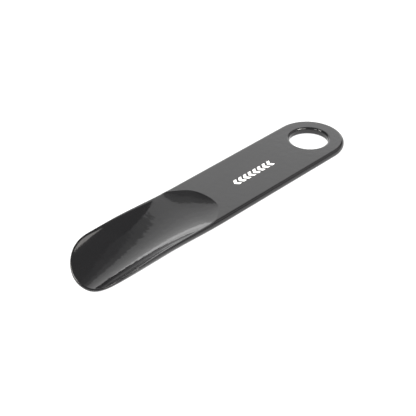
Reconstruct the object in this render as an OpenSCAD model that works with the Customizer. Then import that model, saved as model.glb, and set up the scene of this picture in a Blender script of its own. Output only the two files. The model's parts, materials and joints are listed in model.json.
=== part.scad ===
// One-piece moulded plastic shoehorn, lying on a flat surface.
//
// A flat handle with a hanging hole runs into a scooped blade. The whole moulding is one solid,
// and the ink printed on the handle is the only other material. Every shape is drawn along a bar
// whose tip is at x = 0 and whose top face is at z = 0, then lying() sets it down on the surface.

/* [Overall] */
// Length from the blade's tip to the handle's end
overall_l = 189; // [160:1:240]
// Width of the handle
handle_w = 40; // [34:0.5:46]
// Thickness of the handle
handle_t = 4.2; // [3.6:0.1:6]

/* [Hanging hole] */
// Diameter of the hole's straight wall
hole_d = 22; // [12:0.1:24]
// Radius that rounds both edges of the hole
hole_edge_r = 1.4; // [0.6:0.1:1.7]

/* [Scoop] */
// Length of the scoop, from its start on the handle to the tip
scoop_l = 87; // [70:1:100]
// Depth that the scoop's floor gains quickly after its start
start_dip = 3; // [1.2:0.1:4]
// Length over which it gains most of that depth
start_dip_l = 9; // [6:0.5:14]
// Depth of the tip's middle below the handle's top face
tip_drop = 10.6; // [7:0.1:12]
// How the floor falls to the tip: 1 is a straight fall and more is a later, steeper one
fall_power = 1.9; // [1.2:0.1:2.4]
// Length over which the curved start line sweeps out to the edges
start_line_l = 17; // [12:0.5:24]
// Extra height that the trough's sides aim for at its start
start_lift = 2.1; // [1:0.1:3]

/* [Blade] */
// Height of the blade's rims above the handle's top face
rim_rise = 1.8; // [0:0.1:3]
// Distances from the scoop's start over which the rims rise
rim_rise_start = 6; // [0:1:15]
rim_rise_end = 50; // [30:1:60]
// Length of the rounded nose
nose_l = 22; // [12:0.5:28]
// Bluntness of the nose: 2 is an ellipse, more is squarer
nose_power = 2.4; // [2:0.05:3]
// Thickness that the rim thins down to past the tip
rim_t = 1.4; // [1.2:0.1:2.5]
// Distances from the scoop's start over which the rim thins and comes back down
rim_thin_start = 48; // [30:1:70]
rim_thin_end = 94; // [88:1:110]
// Thickness of the blade's wall along its middle, near the handle
wall_t = 2.3; // [1.8:0.1:3]
// Thickness of the blade's wall in the middle of the tip
wall_tip_t = 1.7; // [1.4:0.1:2.5]

/* [Print] */
// Thickness of the ink film
ink_t = 0.06; // [0.05:0.01:0.2]
// Number of chevrons in the printed row
mark_count = 8; // [3:1:10]
// Length of the printed row
mark_l = 30; // [20:1:36]
// Width of the printed row, across the handle
mark_w = 4.5; // [3:0.5:8]
// Distance from the hole's straight wall to the printed row
mark_gap = 22.5; // [5:0.5:40]
// Distance of the row's middle from the handle's middle, towards +Y
mark_off = -2; // [-8:0.5:8]
// Share of each chevron's length that its arms take up
mark_arm = 0.55; // [0.3:0.05:0.8]

/* [Hidden] */

plastic = [0.12, 0.12, 0.13];
ink = [0.93, 0.93, 0.92];

half_w = handle_w / 2;
edge_r = handle_t / 2;
wall_blend = 1.5;
nose_start = scoop_l - nose_l;
hole_x = overall_l - half_w;
joint_lap = 2;

body_rows = 30;
body_row_bunching = 1.6;
nose_rows = 14;
nose_last_angle = 89.6;
floor_cells = 18;
land_cells = 2;
back_cells = 14;
edge_cells = 8;
split_least = 0.03;
split_most = 0.97;

function smooth(u) = let (v = min(1, max(0, u))) v * v * (3 - 2 * v);
function mix(a, b, u) = a + (b - a) * u;
// The larger of a and b, with the corner between them rounded over a height k.
function soft_max(a, b, k) = max(a, b) + k / 4 * pow(max(0, 1 - abs(a - b) / k), 2);

// Below, d is the distance from the scoop's start towards the tip.

// Share of the handle's thickness that the rim still has: 1 is all of it and 0 is rim_t.
function full(d) = 1 - smooth((d - rim_thin_start) / (rim_thin_end - rim_thin_start));
function rim(d) = mix(rim_t, handle_t, full(d));
// Height of the blade's rims above the handle's top face.
function rim_top(d) = full(d) * rim_rise
    * smooth((d - rim_rise_start) / (rim_rise_end - rim_rise_start));
// Depth of the scoop's floor along the middle.
function depth(d) = let (e = max(0, d)) start_dip * (1 - exp(-e / start_dip_l))
    + (tip_drop - start_dip) * pow(e / scoop_l, fall_power);
// Extra height that the trough's sides aim for. Past the start line it is none.
function lift(d) = start_lift * pow(1 - pow(min(1, max(0, d / start_line_l)), 2), 2);
// The trough is an arc that spans the blade's width with this rise.
function arc_rise(d) = depth(d) + rim_top(d) + lift(d);
function arc_r(d) = (pow(half_w, 2) + pow(arc_rise(d), 2)) / (2 * arc_rise(d));
// Height of the trough's floor above its middle line.
function floor_rise(d, y) = arc_r(d) - sqrt(pow(arc_r(d), 2) - pow(min(abs(y), half_w), 2));
// Half width at which the trough comes up through the face outside it.
function start_line(d) = let (h = depth(d) + rim_top(d)) sqrt(2 * arc_r(d) * h - h * h);

function wall(d) = mix(wall_t, wall_tip_t, smooth(d / scoop_l));
// How far the underside's middle lies below the handle's top face.
function belly(d) = soft_max(handle_t, depth(d) + wall(d), wall_blend);

function top(d, y) = min(rim_top(d), floor_rise(d, y) - depth(d));
function under(d, y) = mix(-belly(d), rim_top(d) - rim(d), floor_rise(d, y) / arc_rise(d));

// Outline of the blade as rows of [d, half width, normal along d, normal along y].
function body_row(k) = let (d = nose_start * pow(k / body_rows, body_row_bunching)) [d, half_w, 0, 1];
function nose_row(k) = let (
        a = nose_last_angle * k / nose_rows,
        u = pow(sin(a), 2 / nose_power),
        v = pow(cos(a), 2 / nose_power),
        d = nose_start + nose_l * u,
        gx = pow(u, nose_power - 1) / nose_l,
        gy = pow(v, nose_power - 1) / half_w,
        g = norm([gx, gy])
    ) [d, half_w * v, gx / g, gy / g];
rows = concat(
    [[-joint_lap, half_w, 0, 1]],
    [for (k = [0:body_rows - 1]) body_row(k)],
    [for (k = [0:nose_rows]) nose_row(k)]
);

// A point of the rounded edge. Angle 0 is on top, 90 is the edge itself and 180 is underneath.
function edge_point(row, a, hand) = let (
        inset = rim(row[0]) / 2 * (1 - sin(a)),
        d = row[0] - row[2] * inset,
        y = row[1] - row[3] * inset,
        mid = (top(d, y) + under(d, y)) / 2,
        half = (top(d, y) - under(d, y)) / 2
    ) [scoop_l - d, hand * y, mid + half * cos(a)];
// Where the top face's points change from the flat land to the scoop's floor.
function split(d, y) = max(split_least * y, min(split_most * y, start_line(d)));
function top_ys(d, y) = let (s = split(d, y)) concat(
    [for (k = [1:land_cells]) mix(y, s, k / land_cells)],
    [for (k = [1:floor_cells - 1]) s * cos(180 * k / floor_cells)],
    [for (k = [0:land_cells - 1]) -mix(s, y, k / land_cells)]
);
// One closed section through the blade, from the +Y edge over the top and back underneath.
function ring(row) = let (
        r = rim(row[0]) / 2,
        d = row[0] - row[2] * r,
        y = row[1] - row[3] * r
    ) concat(
        [for (k = [0:edge_cells]) edge_point(row, 90 - 90 * k / edge_cells, 1)],
        [for (v = top_ys(d, y)) [scoop_l - d, v, top(d, v)]],
        [for (k = [0:2 * edge_cells]) edge_point(row, 180 * k / (2 * edge_cells), -1)],
        [for (k = [1:back_cells - 1])
            let (v = -y * cos(180 * k / back_cells)) [scoop_l - d, v, under(d, v)]],
        [for (k = [0:edge_cells - 1]) edge_point(row, 180 - 90 * k / edge_cells, 1)]
    );

// Skins a list of rings that all have the same number of points.
module skin(rings) {
    n = len(rings[0]);
    last = n * (len(rings) - 1);
    polyhedron(
        points = [for (r = rings) each r],
        faces = concat(
            [for (k = [1:n - 2]) [0, k + 1, k]],
            [for (i = [0:len(rings) - 2], k = [0:n - 1])
                let (a = i * n + k, b = i * n + (k + 1) % n) each [[a, b, a + n], [b, b + n, a + n]]],
            [for (k = [1:n - 2]) [last, last + k, last + k + 1]]
        )
    );
}

module blade() {
    skin([for (r = rows) ring(r)]);
}

// One side of the handle's rounded edge, from the top face round to the underside.
handle_edge = [for (k = [0:2 * edge_cells])
    let (p = edge_point(rows[0], 90 * k / edge_cells, 1)) [p[1], p[2]]];

module half_section() {
    polygon(concat([[0, 0]], handle_edge, [[0, -handle_t]]));
}

module handle() {
    bar_start = scoop_l + joint_lap;
    translate([bar_start, 0, 0]) rotate([90, 0, 90]) linear_extrude(hole_x - bar_start) {
        half_section();
        mirror([1, 0]) half_section();
    }
    translate([hole_x, 0, 0]) rotate([0, 0, -90]) rotate_extrude(angle = 180, $fn = 180) half_section();
}

// What is cut away for the hanging hole: a straight bore that flares over both rounded edges.
module hanging_hole() {
    r = hole_d / 2;
    flare_r = r + hole_edge_r;
    translate([hole_x, 0, 0]) rotate_extrude($fn = 180) difference() {
        translate([0, -handle_t - 1]) square([flare_r, handle_t + 2]);
        translate([flare_r, -hole_edge_r]) circle(r = hole_edge_r, $fn = 96);
        translate([flare_r, hole_edge_r - handle_t]) circle(r = hole_edge_r, $fn = 96);
        translate([r, hole_edge_r - handle_t]) square([hole_edge_r + 1, handle_t - 2 * hole_edge_r]);
    }
}

tip_points = [for (k = [0:edge_cells]) edge_point(nose_row(nose_rows), 180 - 90 * k / edge_cells, 1)];
// Points on the blade's underside that may be the one that touches the surface.
low_points = concat(
    [for (d = [nose_start:0.25:scoop_l - rim_t]) [scoop_l - d, 0, -belly(d)]],
    tip_points
);
// The steepest line from one of them to under the handle's end is level once the moulding lies down.
rest_slope = max([for (p = low_points) (-p[2] - handle_t) / (overall_l - edge_r - p[0])]);
rest_tilt = atan(rest_slope);
rest_z = (overall_l - edge_r) * sin(rest_tilt) + (handle_t - edge_r) * cos(rest_tilt) + edge_r;
end_x = (overall_l - edge_r) * cos(rest_tilt) - edge_r * sin(rest_tilt) + edge_r;
tip_x = min([for (p = tip_points) p[0] * cos(rest_tilt) + p[2] * sin(rest_tilt)]);

module lying() {
    translate([-(end_x + tip_x) / 2, 0, rest_z]) rotate([0, rest_tilt, 0]) children();
}

module shoehorn_moulding() {
    color(plastic) lying() difference() {
        union() {
            blade();
            handle();
        }
        hanging_hole();
    }
}

// A row of chevrons that points at the blade.
module printed_mark() {
    pitch = mark_l / mark_count;
    arm = pitch * mark_arm;
    color(ink) lying()
        translate([hole_x - hole_d / 2 - mark_gap - mark_l, mark_off, 0]) linear_extrude(ink_t)
        for (k = [0:mark_count - 1]) translate([k * pitch, 0])
            polygon([[0, 0], [pitch - arm, mark_w / 2], [pitch, mark_w / 2],
                [arm, 0], [pitch, -mark_w / 2], [pitch - arm, -mark_w / 2]]);
}

shoehorn_moulding();
printed_mark();
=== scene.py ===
"""The looks of the moulded shoehorn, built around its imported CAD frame."""

import json
import math

import bmesh
import bpy
import numpy as np
from mathutils import Matrix, Vector


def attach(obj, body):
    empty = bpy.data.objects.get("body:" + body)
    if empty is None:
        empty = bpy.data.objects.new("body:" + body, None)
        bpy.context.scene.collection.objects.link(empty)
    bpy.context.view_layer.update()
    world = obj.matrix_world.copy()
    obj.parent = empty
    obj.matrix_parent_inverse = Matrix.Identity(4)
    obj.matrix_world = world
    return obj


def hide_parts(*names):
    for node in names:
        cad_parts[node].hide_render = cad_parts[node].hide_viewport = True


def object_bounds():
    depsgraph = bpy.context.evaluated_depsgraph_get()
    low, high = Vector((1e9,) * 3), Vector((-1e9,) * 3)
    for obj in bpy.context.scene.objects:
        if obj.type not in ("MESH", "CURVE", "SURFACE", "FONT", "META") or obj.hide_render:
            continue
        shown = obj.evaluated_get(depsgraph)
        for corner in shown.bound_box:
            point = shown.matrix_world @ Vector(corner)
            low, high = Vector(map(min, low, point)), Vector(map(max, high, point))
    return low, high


MM = 0.001

# Sizes of the moulding in millimetres, the same as the CAD source's.
OVERALL_L = 189.0
HANDLE_W = 40.0
HANDLE_T = 4.2
HOLE_R = 11.0
HOLE_EDGE_R = 1.4
SCOOP_L = 87.0
# Depth that the floor gains quickly after the scoop's start, and the length this takes.
START_DIP = 3.0
START_DIP_L = 9.0
# Depth of the tip's middle below the handle's top face, and how the floor falls to it.
TIP_DROP = 10.6
FALL_POWER = 1.9
# Length of the curved start line, and the extra height that the trough's sides aim for there.
START_LINE_L = 17.0
START_LIFT = 2.1
# Height of the blade's rims, and the distances from the scoop's start over which they rise.
RIM_RISE = 1.8
RIM_RISES = (6.0, 50.0)
# Thickness that the rims thin down to, and the distances over which they thin and come down.
RIM_T = 1.4
RIM_THINS = (48.0, 94.0)
# Length of the rounded nose and its bluntness: 2 is an ellipse and more is squarer.
NOSE_L = 22.0
NOSE_POWER = 2.4
# Thickness of the blade's wall along its middle, near the handle and at the tip, and the height over
# which its underside blends into the handle's.
WALL_T = 2.3
WALL_TIP_T = 1.7
WALL_BLEND = 1.5
# The printed row of chevrons: its place beside the hole's wall and off the handle's middle, and the
# share of each chevron's length that its arms take up.
MARK_L = 30.0
MARK_W = 4.5
MARK_COUNT = 8
MARK_GAP = 22.5
MARK_OFF = -2.0
MARK_ARM = 0.55

HALF_W = HANDLE_W / 2
EDGE_R = HANDLE_T / 2
NOSE_START = SCOOP_L - NOSE_L
HOLE_X = OVERALL_L - HALF_W
HOLE_MOUTH_R = HOLE_R + HOLE_EDGE_R
FLAT_HALF_W = HALF_W - EDGE_R

# The ink film as it is drawn here, a little thinner than the CAD's.
MARK_T = 0.05
MARK_CORNER_R = 0.12
MARK_CORNER_CELLS = 4

# How finely the moulding is drawn. The flat faces round the hole are a patch that begins this far
# before the hole's middle. From there to the tip the moulding is a row of closed sections.
PATCH_REACH = 23.0
PATCH_X = HOLE_X - PATCH_REACH
# Numbers of sections along the bar, past the crease in two stretches, along the blade and round the
# nose. Bunching above 1 brings them closer together towards the crease.
BAR_ROWS = 24
BAR_BUNCHING = 1.5
CREASE_ENDS = (9.0, 15.0)
CREASE_ROWS = 60
CREASE_BUNCHING = 1.8
CREASE_END_ROWS = 40
BLADE_ROWS = 70
NOSE_ROWS = 70
FLOOR_CELLS = 96
EDGE_CELLS = 14
SIDE_CELLS = 20
ROUND_CELLS = 120
HOLE_CELLS = 14
# Points that are closer together than this become one.
WELD = 1e-4
# Positions across the flat land, 0 at the edge and 1 at the scoop, closer together at both ends.
LAND_SHARES = [0, 0.01, 0.04, 0.12, 0.28, 0.5, 0.72, 0.88, 0.96, 0.99, 1]
LAND_CELLS = len(LAND_SHARES) - 1
# The same from the flat face's outline to the hole.
PATCH_SHARES = [0, 0.015, 0.06, 0.18, 0.34, 0.5, 0.66, 0.82, 0.94, 0.985, 1]
# The scoop's floor takes up at most this share of a section's width.
FLOOR_MOST = 0.97

# The lights and the floor are in metres, with azimuths and elevations in degrees. Azimuth 0 is
# towards -Y and azimuth 90 is towards +X.

# The backdrop: an upright light behind and to the right, seen from the hole. It is brighter lower
# down, but its lowest strip is dimmer, because the floor's pale wall is mirrored there as well.
# Each strip is [lowest elevation, highest elevation, brightness].
BACKDROP = [
    (1, 13, 1.0),
    (13, 22, 1.9),
    (22, 33, 1.75),
    (33, 42, 1.6),
    (42, 49, 1.45),
    (49, 55, 1.3),
    (55, 59.5, 1.15),
    (59.5, 65.3, 0.4),
    (65.3, 71, 0.15),
]
BACKDROP_AZ = 100.6
BACKDROP_FAR = 0.7
BACKDROP_ENDS = (0.05, 2.8)

# Lights that face the object's middle: [name, azimuth, elevation, width, height, brightness].
SOFTBOXES = [
    ("softbox_right", 21, 42, 0.24, 0.5, 26.0),
    ("softbox_right_dim", -5, 42, 0.62, 0.5, 8.0),
    ("softbox_left", -123, 42, 0.27, 0.5, 17.0),
    ("softbox_left_dim", -91, 42, 0.37, 0.5, 6.0),
    ("rim_light", 36, 42, 0.26, 0.45, 3.5),
    ("side_panel", 67, 34, 0.85, 0.65, 0.6),
]
SOFTBOX_FAR = 1.3
SOFTBOX_COLOUR = (1, 0.97, 0.93)
# Fills whiten the floor and soften the shadows but don't show in the gloss.
FILLS = [
    ("fill_above", -45, 80, 2.4, 2.4, 2.2),
    ("fill_front", -45, 32, 2.4, 1.4, 2.6),
]
FILL_FAR = 1.5
WHITE = (1, 1, 1)
WORLD_GREY = 0.04

# The floor curves up into a low wall at its far edge.
COVE_AT = 3.6
COVE_R = 0.4
COVE_TOP = 1.0
COVE_CELLS = 10
COVE_SIDES = 96

# Heights of the surfaces' bumps.
WAVE_H = 0.05 * MM
GRAIN_H = 0.004 * MM
DRAG_H = 0.01 * MM
INK_H = 0.01 * MM

# Camera, measured in millimetres from the middle of the hole on the top face, in the bar's own
# directions.
CAM_AZ = -45.576
CAM_EL = 34.782
CAM_DISTANCE = 661.47
CAM_SIDEWAYS = -57.03
CAM_UPWARDS = -39.63
CAM_LENS = 101.09
CAM_SENSOR = 36.0
CAM_CLIP = (0.01, 50)

# Places of a Mix node's colour sockets, which share their names with its other sockets.
MIX_SHARE, MIX_A, MIX_B, MIX_RESULT = 0, 6, 7, 2


def smooth(u):
    v = np.clip(u, 0, 1)
    return v * v * (3 - 2 * v)


def mix(a, b, u):
    return a + (b - a) * u


# Below, d is the distance in millimetres from the scoop's start towards the tip.


def depth(d):
    """Depth of the scoop's floor along the middle."""
    e = np.maximum(0, d)
    quick = START_DIP * (1 - np.exp(-e / START_DIP_L))
    return quick + (TIP_DROP - START_DIP) * (e / SCOOP_L) ** FALL_POWER


def ramp(d, ends):
    return smooth((d - ends[0]) / (ends[1] - ends[0]))


def rim(d):
    """Thickness of the rims."""
    return mix(HANDLE_T, RIM_T, ramp(d, RIM_THINS))


def rim_top(d):
    """Height of the rims above the handle's top face."""
    return RIM_RISE * ramp(d, RIM_RISES) * (1 - ramp(d, RIM_THINS))


def arc_rise(d):
    """Rise of the trough, an arc that spans the blade's width."""
    lift = START_LIFT * (1 - np.clip(d / START_LINE_L, 0, 1) ** 2) ** 2
    return depth(d) + rim_top(d) + lift


def arc_r(d):
    return (HALF_W**2 + arc_rise(d) ** 2) / (2 * arc_rise(d))


def floor_rise(d, y):
    """Height of the trough's floor above its middle line."""
    r = arc_r(d)
    return r - np.sqrt(r**2 - np.minimum(np.abs(y), HALF_W) ** 2)


def start_line(d):
    """Half width at which the trough comes up through the face outside it."""
    h = depth(d) + rim_top(d)
    return np.sqrt(np.maximum(2 * arc_r(d) * h - h**2, 0))


def belly(d):
    """How far the underside's middle lies below the handle's top face."""
    b = depth(d) + mix(WALL_T, WALL_TIP_T, smooth(d / SCOOP_L))
    near = np.maximum(0, 1 - np.abs(HANDLE_T - b) / WALL_BLEND)
    return np.maximum(HANDLE_T, b) + WALL_BLEND / 4 * near**2


def top(d, y):
    return np.minimum(rim_top(d), floor_rise(d, y) - depth(d))


def under(d, y):
    return mix(-belly(d), rim_top(d) - rim(d), floor_rise(d, y) / arc_rise(d))


def body_rows():
    """Rows from the patch to the tip: [d, half width, outline's normal along d and along y]."""
    bar_l = SCOOP_L - PATCH_X
    ds = list(bar_l * (1 - np.arange(BAR_ROWS) / BAR_ROWS) ** BAR_BUNCHING)
    ds += list(CREASE_ENDS[0] * (np.arange(CREASE_ROWS) / CREASE_ROWS) ** CREASE_BUNCHING)
    ds += list(np.linspace(*CREASE_ENDS, CREASE_END_ROWS, endpoint=False))
    ds += list(np.linspace(CREASE_ENDS[1], NOSE_START, BLADE_ROWS, endpoint=False))
    rows = [(d, HALF_W, 0.0, 1.0) for d in ds]
    for k in range(NOSE_ROWS + 1):
        a = math.pi / 2 * k / NOSE_ROWS
        u = math.sin(a) ** (2 / NOSE_POWER)
        v = math.cos(a) ** (2 / NOSE_POWER) if k < NOSE_ROWS else 0.0
        d = NOSE_START + NOSE_L * u
        gx = u ** (NOSE_POWER - 1) / NOSE_L
        gy = v ** (NOSE_POWER - 1) / HALF_W
        g = math.hypot(gx, gy)
        rows.append((d, HALF_W * v, gx / g, gy / g))
    return rows


def edge_point(row, a, hand):
    """A point of the rounded edge on the +Y or -Y hand, which is 1 or -1.

    Angle 0 is on top, pi / 2 is the edge and pi is underneath.
    """
    inset = float(rim(row[0])) / 2 * (1 - math.sin(a))
    d, y = row[0] - row[2] * inset, row[1] - row[3] * inset
    hi, lo = float(top(d, y)), float(under(d, y))
    return (SCOOP_L - d, hand * y, (hi + lo) / 2 + (hi - lo) / 2 * math.cos(a))


def across_ys(d, y):
    """Positions across a row from +y to -y: flat land, then the scoop's floor, then land again."""
    s = 0.0 if d <= 0 else min(FLOOR_MOST * y, float(start_line(d)))
    land = [mix(y, s, t) for t in LAND_SHARES[1:]]
    floor = [s * math.cos(math.pi * k / FLOOR_CELLS) for k in range(1, FLOOR_CELLS)]
    return land + floor + [-v for v in reversed(land)]


def ring(row):
    """One closed section: over the top from the +Y edge, round the -Y edge and back underneath."""
    r = float(rim(row[0])) / 2
    d, y = row[0] - row[2] * r, row[1] - row[3] * r
    across = across_ys(d, y)
    quarter = np.linspace(0, math.pi / 2, EDGE_CELLS + 1)
    half = np.linspace(0, math.pi, 2 * EDGE_CELLS + 1)
    pts = [edge_point(row, a, 1) for a in quarter[::-1]]
    pts += [(SCOOP_L - d, v, float(top(d, v))) for v in across]
    pts += [edge_point(row, a, -1) for a in half]
    pts += [(SCOOP_L - d, v, float(under(d, v))) for v in reversed(across)]
    pts += [edge_point(row, a, 1) for a in (math.pi - quarter)[:-1]]
    return pts


def patch_outline():
    """The patch's outline from its +Y side round the end to its -Y side: [x, y, normal's x and y]."""
    there = np.linspace(PATCH_X, HOLE_X, SIDE_CELLS, endpoint=False)
    back = np.linspace(HOLE_X, PATCH_X, SIDE_CELLS + 1)[1:]
    pts = [(x, FLAT_HALF_W, 0.0, 1.0) for x in there]
    for a in np.linspace(math.pi / 2, -math.pi / 2, ROUND_CELLS + 1):
        c, s = math.cos(a), math.sin(a)
        pts.append((HOLE_X + FLAT_HALF_W * c, FLAT_HALF_W * s, c, s))
    return pts + [(x, -FLAT_HALF_W, 0.0, -1.0) for x in back]


def patch_start():
    """Points across the bar where the patch meets the sections, from -Y to +Y without the ends."""
    land = [mix(FLAT_HALF_W, 0.0, t) for t in LAND_SHARES[1:-1]]
    ys = [-v for v in land] + [0.0] + land[::-1]
    return [(PATCH_X, y) for y in ys]


def vertices(bm, points):
    return [bm.verts.new(p) for p in points]


def skin(bm, lines, closed):
    """Faces between each line of vertices and the next. A closed line's end meets its start."""
    for a, b in zip(lines, lines[1:]):
        n = len(a)
        for k in range(n if closed else n - 1):
            q = (k + 1) % n
            bm.faces.new((a[k], a[q], b[q], b[k]))


def to_object(bm, name):
    mesh = bpy.data.meshes.new(name)
    bm.to_mesh(mesh)
    bm.free()
    obj = bpy.data.objects.new(name, mesh)
    bpy.context.scene.collection.objects.link(obj)
    return obj


def placed_object(bm, name, place):
    """A mesh drawn in millimetres along the bar, put in its place."""
    bmesh.ops.recalc_face_normals(bm, faces=bm.faces[:])
    for v in bm.verts:
        v.co = place(v.co)
    return to_object(bm, name)


def draw_body(bm):
    """The bar from the patch on and the whole blade, with a sharp crease along the start line."""
    rows = body_rows()
    rings = [vertices(bm, ring(row)) for row in rows]
    skin(bm, rings, True)
    creases = (EDGE_CELLS + LAND_CELLS, EDGE_CELLS + LAND_CELLS + FLOOR_CELLS)
    for row, a, b in zip(rows, rings, rings[1:]):
        if 0 <= row[0] < START_LINE_L:
            for k in creases:
                bm.edges.get((a[k], b[k])).smooth = False


def draw_flats(bm, loop, turns):
    """The flat faces on top and underneath, from the patch's outline in to the hole's mouth."""
    for z in (0.0, -HANDLE_T):
        lines = []
        for t in PATCH_SHARES:
            pts = []
            for (x, y), a in zip(loop, turns):
                hx, hy = HOLE_X + HOLE_MOUTH_R * math.cos(a), HOLE_MOUTH_R * math.sin(a)
                pts.append((mix(x, hx, t), mix(y, hy, t), z))
            lines.append(vertices(bm, pts))
        skin(bm, lines, True)


def draw_edge(bm, outline):
    """The handle's fully rounded edge, round its end."""
    arc = np.linspace(0, math.pi, 2 * EDGE_CELLS + 1)
    section = [(EDGE_R * math.sin(a), EDGE_R * (math.cos(a) - 1)) for a in arc]
    lines = []
    for x, y, nx, ny in outline:
        lines.append(vertices(bm, [(x + nx * out, y + ny * out, z) for out, z in section]))
    skin(bm, lines, False)


def draw_hole(bm, turns):
    """The hole's straight wall between its two rounded edges."""
    arc = np.linspace(0, math.pi / 2, HOLE_CELLS + 1)
    section = []
    for a in arc:
        section.append((HOLE_MOUTH_R - HOLE_EDGE_R * math.sin(a), HOLE_EDGE_R * (math.cos(a) - 1)))
    section += [(r, -HANDLE_T - z) for r, z in reversed(section)]
    lines = []
    for a in turns:
        c, s = math.cos(a), math.sin(a)
        lines.append(vertices(bm, [(HOLE_X + r * c, r * s, z) for r, z in section]))
    skin(bm, lines + lines[:1], False)


def moulding_mesh(name, place):
    """The whole moulding as one closed mesh."""
    bm = bmesh.new()
    draw_body(bm)
    outline = patch_outline()
    loop = [(x, y) for x, y, _, _ in outline] + patch_start()
    turns = [math.atan2(y, x - HOLE_X) for x, y in loop]
    draw_flats(bm, loop, turns)
    draw_edge(bm, outline)
    draw_hole(bm, turns)
    bmesh.ops.remove_doubles(bm, verts=bm.verts[:], dist=WELD)
    for f in bm.faces:
        f.smooth = True
    open_edges = sum(len(e.link_faces) != 2 for e in bm.edges)
    print("moulding: open edges", open_edges, "faces", len(bm.faces))
    return placed_object(bm, name, place)


def rounded(points, r, cells):
    """A polygon with each corner replaced by an arc of radius r."""
    out = []
    for k, point in enumerate(points):
        p = Vector(point)
        a = (Vector(points[k - 1]) - p).normalized()
        b = (Vector(points[(k + 1) % len(points)]) - p).normalized()
        half = a.angle(b) / 2
        reach = r / math.tan(half)
        centre = p + (a + b).normalized() * (r / math.sin(half))
        start, end = p + a * reach - centre, p + b * reach - centre
        for i in range(cells + 1):
            out.append(centre + start.lerp(end, i / cells).normalized() * r)
    return out


def mark_mesh(name, place):
    """A row of chevrons pointing at the blade, each a thin film of ink with rounded corners."""
    bm = bmesh.new()
    pitch = MARK_L / MARK_COUNT
    arm, half = pitch * MARK_ARM, MARK_W / 2
    upper = [(pitch - arm, half), (pitch, half)]
    lower = [(x, -y) for x, y in reversed(upper)]
    chevron = [(0, 0), *upper, (arm, 0), *lower]
    start = HOLE_X - HOLE_R - MARK_GAP - MARK_L
    for k in range(MARK_COUNT):
        corners = [(start + k * pitch + x, MARK_OFF + y) for x, y in chevron]
        outline = rounded(corners, MARK_CORNER_R, MARK_CORNER_CELLS)
        low = vertices(bm, [(p.x, p.y, 0.0) for p in outline])
        high = vertices(bm, [(p.x, p.y, MARK_T) for p in outline])
        skin(bm, [low, high], True)
        bm.faces.new(high)
        bm.faces.new(low[::-1])
    return placed_object(bm, name, place)


def nodes_of(name):
    mat = bpy.data.materials.new(name)
    mat.use_nodes = True
    tree = mat.node_tree
    return mat, tree, tree.nodes["Principled BSDF"]


def noise(tree, scale, detail, stretch=(1, 1, 1), rough=0.5):
    """Noise that stays with the object. Its scale is in cells per metre."""
    coord = tree.nodes.new("ShaderNodeTexCoord")
    mapping = tree.nodes.new("ShaderNodeMapping")
    mapping.inputs["Scale"].default_value = stretch
    tex = tree.nodes.new("ShaderNodeTexNoise")
    tex.inputs["Scale"].default_value = scale
    tex.inputs["Detail"].default_value = detail
    tex.inputs["Roughness"].default_value = rough
    tree.links.new(coord.outputs["Object"], mapping.inputs["Vector"])
    tree.links.new(mapping.outputs["Vector"], tex.inputs["Vector"])
    return tex.outputs["Fac"]


def remap(tree, value, given, wanted):
    """A value whose given range is stretched to the wanted one."""
    node = tree.nodes.new("ShaderNodeMapRange")
    node.inputs["From Min"].default_value, node.inputs["From Max"].default_value = given
    node.inputs["To Min"].default_value, node.inputs["To Max"].default_value = wanted
    tree.links.new(value, node.inputs["Value"])
    return node.outputs["Result"]


def add(tree, a, b):
    node = tree.nodes.new("ShaderNodeMath")
    node.operation = "ADD"
    tree.links.new(a, node.inputs[0])
    tree.links.new(b, node.inputs[1])
    return node.outputs["Value"]


def two_tone(tree, share, dark, pale):
    """A colour that goes from dark to pale as the share goes from 0 to 1."""
    node = tree.nodes.new("ShaderNodeMix")
    node.data_type = "RGBA"
    node.inputs[MIX_A].default_value = (*dark, 1)
    node.inputs[MIX_B].default_value = (*pale, 1)
    tree.links.new(share, node.inputs[MIX_SHARE])
    return node.outputs[MIX_RESULT]


def levelness(tree, least, most):
    """Goes from 0 on steep faces to 1 on faces that look nearly straight up or down."""
    geometry = tree.nodes.new("ShaderNodeNewGeometry")
    split = tree.nodes.new("ShaderNodeSeparateXYZ")
    size = tree.nodes.new("ShaderNodeMath")
    size.operation = "ABSOLUTE"
    tree.links.new(geometry.outputs["Normal"], split.inputs["Vector"])
    tree.links.new(split.outputs["Z"], size.inputs[0])
    return remap(tree, size.outputs["Value"], given=(least, most), wanted=(0.0, 1.0))


def bump(tree, height, distance, strength, normal=None):
    """A bump. Its strength is a number or another node's output."""
    node = tree.nodes.new("ShaderNodeBump")
    node.inputs["Distance"].default_value = distance
    if isinstance(strength, float):
        node.inputs["Strength"].default_value = strength
    else:
        tree.links.new(strength, node.inputs["Strength"])
    tree.links.new(height, node.inputs["Height"])
    if normal is not None:
        tree.links.new(normal, node.inputs["Normal"])
    return node.outputs["Normal"]


def plastic_material():
    """Glossy black with a cloudy tone, fine grain, lengthwise drag marks and waviness where level."""
    mat, tree, bsdf = nodes_of("gloss_black_plastic")
    drag = noise(tree, scale=1.0, detail=3, stretch=(9, 700, 200))
    grain = noise(tree, scale=1800, detail=4, rough=0.6)
    cloud = noise(tree, scale=60, detail=3)
    wave = noise(tree, scale=330, detail=1.5)
    tone = two_tone(tree, cloud, (0.0065, 0.0065, 0.007), (0.0105, 0.0105, 0.011))
    tree.links.new(tone, bsdf.inputs["Base Color"])
    dragged = remap(tree, drag, given=(0.35, 0.75), wanted=(0.0, 0.05))
    grained = remap(tree, grain, given=(0.3, 0.7), wanted=(0.045, 0.075))
    tree.links.new(add(tree, dragged, grained), bsdf.inputs["Roughness"])
    wavy = bump(tree, wave, WAVE_H, strength=levelness(tree, least=0.7, most=0.92))
    fine = bump(tree, grain, GRAIN_H, strength=0.08, normal=wavy)
    streaked = bump(tree, drag, DRAG_H, strength=0.12, normal=fine)
    tree.links.new(streaked, bsdf.inputs["Normal"])
    bsdf.inputs["IOR"].default_value = 1.5
    return mat


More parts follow.
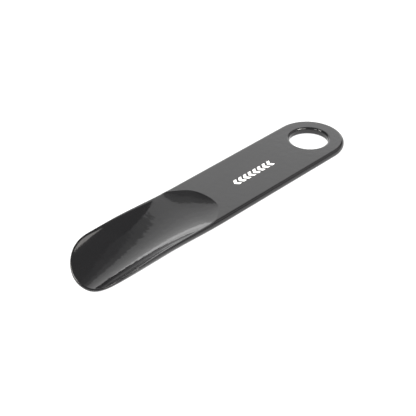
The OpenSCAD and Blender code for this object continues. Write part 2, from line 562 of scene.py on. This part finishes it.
def ink_material():
    """White ink with a speckled cover."""
    mat, tree, bsdf = nodes_of("white_ink")
    speckle = noise(tree, scale=2600, detail=5, rough=0.7)
    cover = remap(tree, speckle, given=(0.3, 0.55), wanted=(0.0, 1.0))
    dull = remap(tree, speckle, given=(0.3, 0.7), wanted=(0.35, 0.55))
    tone = two_tone(tree, cover, (0.62, 0.62, 0.61), (0.88, 0.88, 0.87))
    tree.links.new(tone, bsdf.inputs["Base Color"])
    tree.links.new(dull, bsdf.inputs["Roughness"])
    tree.links.new(bump(tree, speckle, INK_H, strength=0.3), bsdf.inputs["Normal"])
    return mat


def floor_material():
    """A pale sheet that glows enough to stay white."""
    mat, _, bsdf = nodes_of("pale_floor")
    bsdf.inputs["Base Color"].default_value = (0.2, 0.2, 0.2, 1)
    bsdf.inputs["Roughness"].default_value = 0.8
    bsdf.inputs["Emission Color"].default_value = (*WHITE, 1)
    bsdf.inputs["Emission Strength"].default_value = 0.88
    bsdf.inputs["Specular IOR Level"].default_value = 0.1
    return mat


def studio_floor(name, z):
    """A flat round floor whose far edge curves up into a low wall."""
    bm = bmesh.new()
    profile = [(COVE_AT, 0.0)]
    for k in range(1, COVE_CELLS + 1):
        a = math.pi / 2 * k / COVE_CELLS
        profile.append((COVE_AT + COVE_R * math.sin(a), COVE_R * (1 - math.cos(a))))
    profile.append((COVE_AT + COVE_R, COVE_TOP))
    turns = [2 * math.pi * k / COVE_SIDES for k in range(COVE_SIDES)]
    rings = []
    for r, h in profile:
        rings.append(vertices(bm, [(r * math.cos(a), r * math.sin(a), z + h) for a in turns]))
    bm.faces.new(rings[0])
    for low, high in zip(rings, rings[1:]):
        for k in range(COVE_SIDES):
            q = (k + 1) % COVE_SIDES
            bm.faces.new((low[k], high[k], high[q], low[q])).smooth = True
    return to_object(bm, name)


def direction(azimuth, elevation):
    """The way out to an azimuth and an elevation in degrees."""
    a, e = math.radians(azimuth), math.radians(elevation)
    return Vector((math.sin(a) * math.cos(e), -math.cos(a) * math.cos(e), math.sin(e)))


def panel(name, at, back, width, height, radiance, colour):
    """A flat light with its back to a direction. Its power follows from its brightness and size."""
    light = bpy.data.lights.new(name, "AREA")
    light.shape = "RECTANGLE"
    light.size, light.size_y = width, height
    light.energy = radiance * math.pi * width * height
    light.color = colour
    obj = bpy.data.objects.new(name, light)
    obj.location = at
    obj.rotation_mode = "QUATERNION"
    obj.rotation_quaternion = back.to_track_quat("Z", "Y")
    obj.visible_camera = False
    bpy.context.scene.collection.objects.link(obj)
    return obj


def backdrop(target):
    """Upright strips of light, one above the other, that light only the gloss."""
    out = direction(BACKDROP_AZ, 0)
    left = Vector((0, 0, 1)).cross(out)
    end_0, end_1 = BACKDROP_ENDS
    for k, (low, high, radiance) in enumerate(BACKDROP):
        z0, z1 = (BACKDROP_FAR * math.tan(math.radians(v)) for v in (low, high))
        height = Vector((0, 0, (z0 + z1) / 2))
        at = target + out * BACKDROP_FAR + left * ((end_0 + end_1) / 2) + height
        strip = panel("backdrop_%d" % k, at, out, end_1 - end_0, z1 - z0, radiance, WHITE)
        strip.visible_diffuse = False


def lights(table, far, colour, in_gloss, target):
    """A table's lights, each this far from the target and facing it, shown in the gloss or not."""
    for name, azimuth, elevation, width, height, radiance in table:
        out = direction(azimuth, elevation)
        light = panel(name, target + out * far, out, width, height, radiance, colour)
        light.visible_glossy = in_gloss


def studio_world():
    """A dim grey world, with colours shown as they are."""
    world = bpy.data.worlds.new("studio")
    world.use_nodes = True
    background = world.node_tree.nodes["Background"]
    background.inputs["Color"].default_value = (WORLD_GREY, WORLD_GREY, WORLD_GREY, 1)
    background.inputs["Strength"].default_value = 1.0
    bpy.context.scene.world = world
    bpy.context.scene.view_settings.view_transform = "Standard"


def photo_camera(name, hole_top, turn):
    """The photograph's camera. The turn takes the bar's own directions to the row frame's."""
    back = direction(CAM_AZ, CAM_EL)
    right = direction(CAM_AZ + 90, 0)
    over = back.cross(right)
    eye = back * CAM_DISTANCE + right * CAM_SIDEWAYS + over * CAM_UPWARDS
    pose = (turn @ Matrix((right, over, back)).transposed()).to_4x4()
    pose.translation = hole_top + turn @ eye * MM
    cam = bpy.data.objects.new(name, bpy.data.cameras.new(name))
    cam.data.lens = CAM_LENS
    cam.data.sensor_width = CAM_SENSOR
    cam.data.clip_start, cam.data.clip_end = CAM_CLIP
    cam.matrix_world = pose
    bpy.context.scene.collection.objects.link(cam)
    bpy.context.scene.camera = cam


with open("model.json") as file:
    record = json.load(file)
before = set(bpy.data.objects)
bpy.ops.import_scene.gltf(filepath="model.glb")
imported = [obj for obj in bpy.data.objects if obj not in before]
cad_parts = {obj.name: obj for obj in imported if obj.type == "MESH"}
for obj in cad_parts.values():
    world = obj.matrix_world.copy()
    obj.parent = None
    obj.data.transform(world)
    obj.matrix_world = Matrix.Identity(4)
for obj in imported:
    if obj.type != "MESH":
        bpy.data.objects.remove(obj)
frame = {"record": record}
start_lo, start_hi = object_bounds()

# The bar's own directions and the middle of the hole's wall, from the hanging hole's mount.
hole = next(m for m in frame["record"]["mounts"] if m["name"] == "hanging_hole")
hole_mid = Vector(hole["pos_m"])
up = Vector(hole["axis"]).normalized()
across = Vector((0, 1, 0))
along = across.cross(up)


def place(p):
    """From millimetres along the bar to metres in the row frame, kept inside the CAD's own box."""
    q = hole_mid + (along * (p[0] - HOLE_X) + across * p[1] + up * (p[2] + HANDLE_T / 2)) * MM
    return Vector(min(max(v, a), b) for v, a, b in zip(q, start_lo, start_hi))


moulding = moulding_mesh("moulding", place)
moulding.data.materials.append(plastic_material())
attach(moulding, "root")
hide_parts("shoehorn_moulding")

mark = mark_mesh("print", place)
mark.data.materials.append(ink_material())
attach(mark, "root")
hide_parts("printed_mark")

floor = studio_floor("floor", start_lo.z)
floor.data.materials.append(floor_material())

middle = (start_lo + start_hi) / 2
backdrop(hole_mid)
lights(SOFTBOXES, SOFTBOX_FAR, SOFTBOX_COLOUR, True, middle)
lights(FILLS, FILL_FAR, WHITE, False, middle)
studio_world()
photo_camera("camera", hole_mid + up * (HANDLE_T / 2 * MM), Matrix((along, across, up)).transposed())
